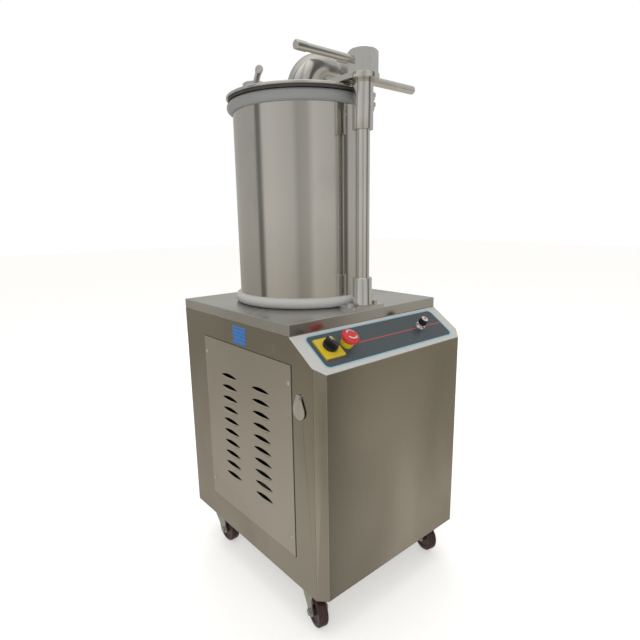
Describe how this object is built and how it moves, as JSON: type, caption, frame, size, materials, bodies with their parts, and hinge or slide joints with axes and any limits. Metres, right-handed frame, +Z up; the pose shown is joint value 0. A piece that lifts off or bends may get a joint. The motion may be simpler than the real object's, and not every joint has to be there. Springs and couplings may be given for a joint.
{
  "type": "sausage stuffer",
  "caption": "Hydraulic sausage filler: wheeled steel cabinet, piston barrel, swing lid clamped on columns, elbow outlet and stuffing tube.",
  "frame": {"origin": "on the floor, under the middle of the whole machine's box", "axes": "+Z up, -Y towards the operator (the sloped fascia), +X to the operator's right, where the stuffing tube points"},
  "size_m": [0.686, 0.59, 1.342],
  "materials": {
    "cabinet_steel": "brushed, vertical grain",
    "worktop_steel": "brushed",
    "access_steel": "brushed",
    "barrel_steel": "mirror polished",
    "polished_steel": "polished",
    "clamp_steel": "satin, bead blasted",
    "fascia_white": "satin powder coat",
    "overlay_film": "satin film",
    "collar_white": "satin moulded band",
    "seal_rubber": "matte",
    "hose_rubber": "matte",
    "zinc_plate": "zinc plated pressing",
    "bezel_chrome": "chrome plated",
    "wheel_plastic": "moulded polyurethane",
    "machine_paint": "gloss enamel",
    "motor_paint": "gloss enamel",
    "cast_alloy": "as cast",
    "box_plastic": "moulded",
    "yellow_plastic": "moulded",
    "red_plastic": "moulded",
    "black_plastic": "moulded"
  },
  "bodies": {
    "root": {"floor_pan": "cabinet_steel", "front_panel": "cabinet_steel", "left_side_panel": "cabinet_steel", "right_side_panel": "cabinet_steel", "rear_cover": "cabinet_steel", "worktop": "worktop_steel", "control_fascia": "fascia_white", "fascia_overlay": "overlay_film", "left_access_panel": "access_steel", "right_access_panel": "access_steel", "panel_screws": "polished_steel", "mains_gland": "black_plastic", "oil_drain_plug": "zinc_plate", "caster_plates": "zinc_plate", "barrel": "barrel_steel", "base_collar": "collar_white", "top_collar": "collar_white", "front_column_base": "polished_steel", "front_column_rod": "polished_steel", "rear_column_base": "polished_steel", "rear_column_rod": "polished_steel", "column_bolts": "polished_steel", "hydraulic_cylinder": "machine_paint", "cylinder_gland": "polished_steel", "oil_tank": "machine_paint", "motor": "motor_paint", "hydraulic_pump": "cast_alloy", "valve_block": "cast_alloy", "hydraulic_pipes": "hose_rubber", "electrical_box": "box_plastic", "isolator_base": "yellow_plastic", "stop_collar": "yellow_plastic", "knob_bezel": "bezel_chrome"},
    "piston": {"piston": "polished_steel", "piston_seal": "seal_rubber", "ram_rod": "polished_steel"},
    "lid": {"lid": "polished_steel", "lid_yoke": "polished_steel", "lid_seal": "seal_rubber", "outlet_elbow": "barrel_steel", "stuffing_tube": "polished_steel", "pivot_sleeve": "polished_steel", "sleeve_bolts": "polished_steel"},
    "union": {"union_nut": "polished_steel"},
    "front_clamp": {"front_clamp_nut": "clamp_steel", "front_clamp_bar": "polished_steel"},
    "rear_clamp": {"rear_clamp_nut": "clamp_steel", "rear_clamp_bar": "polished_steel"},
    "isolator_knob": {"isolator_knob": "black_plastic"},
    "stop_button": {"stop_button": "red_plastic"},
    "regulator_knob": {"regulator_knob": "black_plastic"},
    "lock_cover": {"lock_cover": "polished_steel"},
    "fork_front_left": {"fork_front_left": "zinc_plate"},
    "wheel_front_left": {"wheel_front_left": "wheel_plastic"},
    "fork_front_right": {"fork_front_right": "zinc_plate"},
    "wheel_front_right": {"wheel_front_right": "wheel_plastic"},
    "fork_rear_left": {"fork_rear_left": "zinc_plate"},
    "wheel_rear_left": {"wheel_rear_left": "wheel_plastic"},
    "fork_rear_right": {"fork_rear_right": "zinc_plate"},
    "wheel_rear_right": {"wheel_rear_right": "wheel_plastic"}
  },
  "joints": [
    {"name": "piston_lift", "type": "slide", "parent": "root", "child": "piston", "axis": [0, 0, 1], "range_m": [0, 0.42]},
    {"name": "lid_swing", "type": "hinge", "parent": "root", "child": "lid", "pos_m": [-0.093, -0.173, 1.17], "axis": [0, 0, -1], "range_deg": [0, 110]},
    {"name": "union_turn", "type": "hinge", "parent": "lid", "child": "union", "pos_m": [0.047, 0.045, 1.3], "axis": [1, 0, 0], "range_deg": [-180, 180]},
    {"name": "front_clamp_turn", "type": "hinge", "parent": "root", "child": "front_clamp", "pos_m": [-0.093, -0.173, 1.25], "axis": [0, 0, 1], "range_deg": [0, 120]},
    {"name": "rear_clamp_turn", "type": "hinge", "parent": "root", "child": "rear_clamp", "pos_m": [-0.093, 0.249, 1.265], "axis": [0, 0, 1], "range_deg": [-120, 8]},
    {"name": "isolator_turn", "type": "hinge", "parent": "root", "child": "isolator_knob", "pos_m": [-0.266, -0.24478, 0.65879], "axis": [0, -0.5639, 0.8259], "range_deg": [-90, 0]},
    {"name": "stop_press", "type": "slide", "parent": "root", "child": "stop_button", "axis": [0, 0.5639, -0.8259], "range_m": [0, 0.004]},
    {"name": "regulator_turn", "type": "hinge", "parent": "root", "child": "regulator_knob", "pos_m": [0.039, -0.24478, 0.65879], "axis": [0, -0.5639, 0.8259], "range_deg": [-135, 135]},
    {"name": "lock_cover_swing", "type": "hinge", "parent": "root", "child": "lock_cover", "pos_m": [-0.337, -0.232, 0.564], "axis": [-1, 0, 0], "range_deg": [-85, 100]},
    {"name": "swivel_front_left", "type": "hinge", "parent": "root", "child": "fork_front_left", "pos_m": [-0.294, -0.205, 0.094], "axis": [0, 0, 1], "continuous": true},
    {"name": "spin_front_left", "type": "hinge", "parent": "fork_front_left", "child": "wheel_front_left", "pos_m": [-0.30228, -0.23591, 0.0375], "axis": [0.9659, -0.2588, 0], "continuous": true},
    {"name": "swivel_front_right", "type": "hinge", "parent": "root", "child": "fork_front_right", "pos_m": [0.108, -0.205, 0.094], "axis": [0, 0, 1], "continuous": true},
    {"name": "spin_front_right", "type": "hinge", "parent": "fork_front_right", "child": "wheel_front_right", "pos_m": [0.09972, -0.23591, 0.0375], "axis": [0.9659, -0.2588, 0], "continuous": true},
    {"name": "swivel_rear_left", "type": "hinge", "parent": "root", "child": "fork_rear_left", "pos_m": [-0.294, 0.205, 0.094], "axis": [0, 0, 1], "continuous": true},
    {"name": "spin_rear_left", "type": "hinge", "parent": "fork_rear_left", "child": "wheel_rear_left", "pos_m": [-0.294, 0.173, 0.0375], "axis": [1, 0, 0], "continuous": true},
    {"name": "swivel_rear_right", "type": "hinge", "parent": "root", "child": "fork_rear_right", "pos_m": [0.108, 0.205, 0.094], "axis": [0, 0, 1], "continuous": true},
    {"name": "spin_rear_right", "type": "hinge", "parent": "fork_rear_right", "child": "wheel_rear_right", "pos_m": [0.108, 0.173, 0.0375], "axis": [1, 0, 0], "continuous": true}
  ]
}
